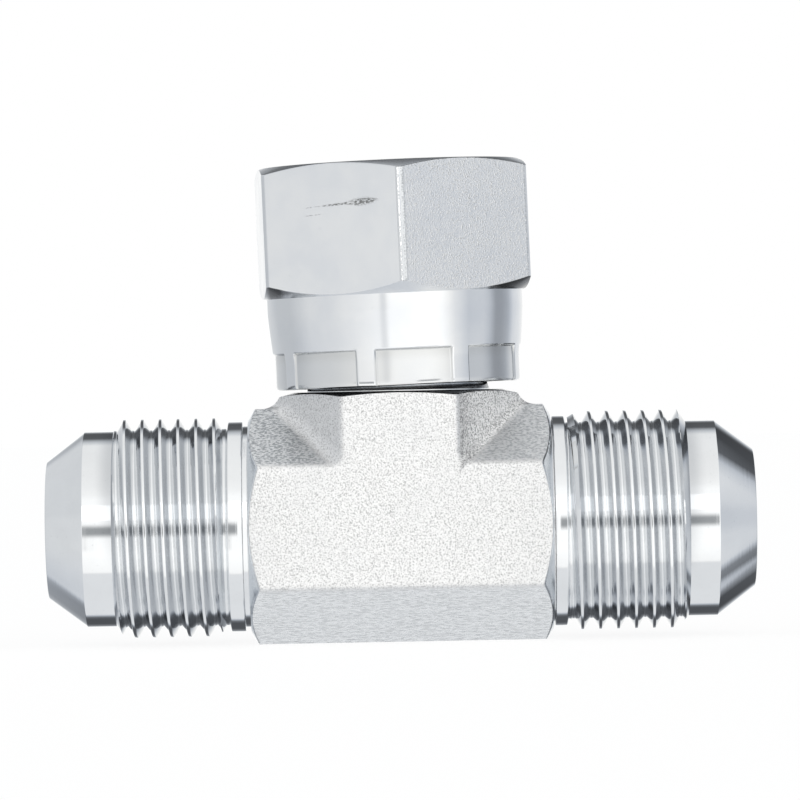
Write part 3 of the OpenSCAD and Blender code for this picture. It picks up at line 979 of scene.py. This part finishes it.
def sheet(name, corners, material):
    """A flat stage object from four corners in mm, given row by row."""
    mesh = bpy.data.meshes.new(name)
    mesh.from_pydata([[v * MM for v in corner] for corner in corners], [], [[0, 1, 3, 2]])
    mesh.materials.append(material)
    piece = placed(name, mesh)
    return piece


reaches = -REACH, REACH
sheet("floor", [(x, y, FLOOR_Z) for y in reaches for x in reaches], studio_floor())
print("floor at mm", FLOOR_Z)

# %% [markdown]
# The turned ends show a dark line along their middle, and the nut doesn't. A gap in the world would be
# infinitely far away and cross the nut as well, so a dim card near the fitting gives the line: only what
# is level with it mirrors it. It fades out at its edges, and only mirror reflections see it.

# %% Dark card
CARD_Y, CARD_Z, CARD_HALF, CARD_HIGH = -50, -0.8, 40, 8
CARD_FADE, CARD_GAP, CARD_END = (7.6, 1.6), (14.8, 16.4), (38.5, 36.5)


def dark_card():
    """Dim where it faces one of the two ends, and clear in the middle and at its edges."""
    s = Shader("dark_card")
    x, y, z = s.place_in_mm()
    dim = s.node("Emission", Color=(0.95, 0.98, 1, 1), Strength=0.4)
    shown = abs(z - CARD_Z).step(*CARD_FADE) * abs(x).step(*CARD_GAP) * abs(x).step(*CARD_END)
    card = s.blend(shown, s.node("BsdfTransparent"), dim)
    s.feed(s.output, 0, card.outputs[0])
    return s.material


card_corners = [(x, CARD_Y, CARD_Z + z) for z in (-CARD_HIGH, CARD_HIGH) for x in (-CARD_HALF, CARD_HALF)]
card = sheet("dark_card", card_corners, dark_card())
card.visible_camera = card.visible_shadow = card.visible_diffuse = card.visible_transmission = False
print("card at mm", CARD_Y, CARD_Z)

# %% [markdown]
# The surround is a tent of pale cloth with gaps, as round metal is lit in a studio. Each bright or dark
# band on the fitting mirrors one direction: a face whose normal stands at an angle to the camera shows
# the light at twice that angle. So the level is written as straight lines over the angle round the
# horizon, and over the angle from the front over the top to the back, and the two are blended by how
# far a direction points sideways. The camera itself sees plain white.

# %% Levels of the surround
# Level against the angle round the horizon, left to right: 0 is in front, where the camera stands
ROUND = [(-180, 1.2), (-171, 1.2), (-164, 0.74), (-145, 0.68), (-132, 0.61), (-109, 0.61), (-84, 0.78),
         (-57, 0.82), (-33, 0.94), (-19, 1.02), (-8, 1.08), (-2, 1.2), (30, 1.25), (44, 1.15), (56, 0.88),
         (62, 0.8), (70, 0.67), (80, 0.7), (88, 0.7), (95, 0.62), (104, 0.38), (113, 0.39), (123, 0.48),
         (135, 0.78), (153, 0.88), (168, 0.95), (180, 1.1)]
# Level against the angle from front over the top to the back, and below the front as negative
OVER = [(-180, 1.2), (-172, 1.0), (-163, 0.3), (-150, 0.1), (-131, 0.1), (-126, 0.2), (-120, 0.86),
        (-53, 0.86), (-50.5, 1.1), (-28, 1.2), (12, 1.2), (36, 1.15), (42, 1.06), (54, 1.0), (119, 0.92),
        (128, 0.6), (137, 0.12), (156, 0.1), (168, 0.45), (173, 1.0), (180, 1.2)]
# Share of the level that is left on the right, against depth from front (-1) to back (1), above and below
RIGHT_HIGH = [(-1, 1), (0.16, 1), (0.32, 0.2), (0.8, 0.16), (1, 0.5)]
RIGHT_LOW = [(-1, 1), (0, 1), (0.1, 0.4), (0.2, 0.4), (0.3, 0.95), (0.44, 0.95), (0.58, 0.25), (1, 0.2)]
print("levels round and over:", len(ROUND), len(OVER))

# %% The surround
world = bpy.data.worlds.new("studio")
bpy.context.scene.world = world
world.use_nodes = True


class Studio(Shader):
    """The surround as a world: the same node helpers, on the world's own tree."""

    def __init__(self, world):
        self.tree = world.node_tree
        self.surface = self.tree.nodes["Background"]
        self.place = self.node("TexCoord").outputs["Generated"]

    def ramp(self, value, low, high, stops):
        """Straight lines between stops of (value, level)."""
        node = self.node("ValToRGB", Fac=(value - low) / (high - low))
        row = node.color_ramp.elements
        row[0].color, row[1].color = ([stops[k][1]] * 3 + [1] for k in (0, -1))
        for at, level in stops[1:-1]:
            row.new((at - low) / (high - low)).color = (level, level, level, 1)
        return self.val(node.outputs["Color"])

    def angle(self, rise, run):
        """Angle in degrees of a rise over a run, from -180 to 180."""
        return rise.math("ARCTAN2", run) * (180 / math.pi)


def surround():
    """Level by direction, less the gaps, with the shaded parts cooler than the lit ones."""
    s = Studio(world)
    x, y, z = s.split(s.place)
    right = x.step(0.2, 0.4)
    round_level = s.ramp(s.angle(x, y * -1), -180, 180, ROUND)
    over_level = s.ramp(s.angle(z, y * -1), -180, 180, OVER)
    sideways = (x * x) / (x * x + z * z * 0.5 + 1e-5)
    level = over_level + (round_level - over_level) * sideways * sideways

    # A plain panel high on the left, and the right side's own levels above and below
    panel = x.step(-0.25, -0.5) * z.step(0.12, 0.25)
    level = level + (0.76 - level) * panel
    level = level * (1 + (s.ramp(y, -1, 1, RIGHT_HIGH) - 1) * right * z.step(0.15, 0.3))
    level = level * (1 + (s.ramp(y, -1, 1, RIGHT_LOW) - 1) * right * z.step(-0.15, -0.3))
    level = level * (1 + right * abs(z).step(0.06, 0.25) * y.step(0.1, -0.1) * 0.08)

    # A thin dim seam left of the camera, which the nut's tail mirrors as a line beside its bright middle
    low_front = z.step(-0.45, -0.35) * z.step(0.12, 0.06) * y.step(-0.7, -0.8)
    seam = abs(x / y - 0.18).step(0.09, 0.01) * low_front
    level = level * (1 - seam * 0.22)

    cool = x.step(0, 0.6).larger(z.step(-0.2, -0.6))
    dim = s.mix(cool, (0.93, 0.97, 1.02), (0.905, 0.96, 1.045))
    tint = s.mix(level.step(0.5, 1.05), dim, (1.0, 1.0, 0.99))
    lit = s.node("VectorMath", {"operation": "SCALE"}, Vector=tint, Scale=level)
    camera_ray = s.val(s.node("LightPath").outputs["Is Camera Ray"])
    s.feed(s.surface, "Color", s.mix(camera_ray, lit.outputs[0], (1, 1, 1)))


surround()
print("surround nodes:", len(world.node_tree.nodes))

# %% [markdown]
# One soft box stands in front and above, weak beside the surround. The view transform is Standard, so
# that a colour renders as it is written.

# %% Soft box and view


def soft_box(name, place, aim, size, power):
    """A rectangular light at a place in mm, facing a point."""
    data = bpy.data.lights.new(name, "AREA")
    data.shape, data.size, data.size_y = "RECTANGLE", size[0] * MM, size[1] * MM
    data.energy = power
    box = placed(name, data)
    box.location = [v * MM for v in place]
    away = np.array(aim, float) - np.array(place, float)
    spin = math.atan2(away[1], away[0]) - math.pi / 2
    tilt = math.atan2(math.hypot(away[0], away[1]), -away[2])
    box.rotation_euler = (tilt, 0, spin)
    return box


front_box = soft_box("front_box", (0, -900, 330), (0, 0, 10), (900, 300), 0.3)
bpy.context.scene.view_settings.view_transform = "Standard"
print("soft box at m", [round(v, 3) for v in front_box.location])
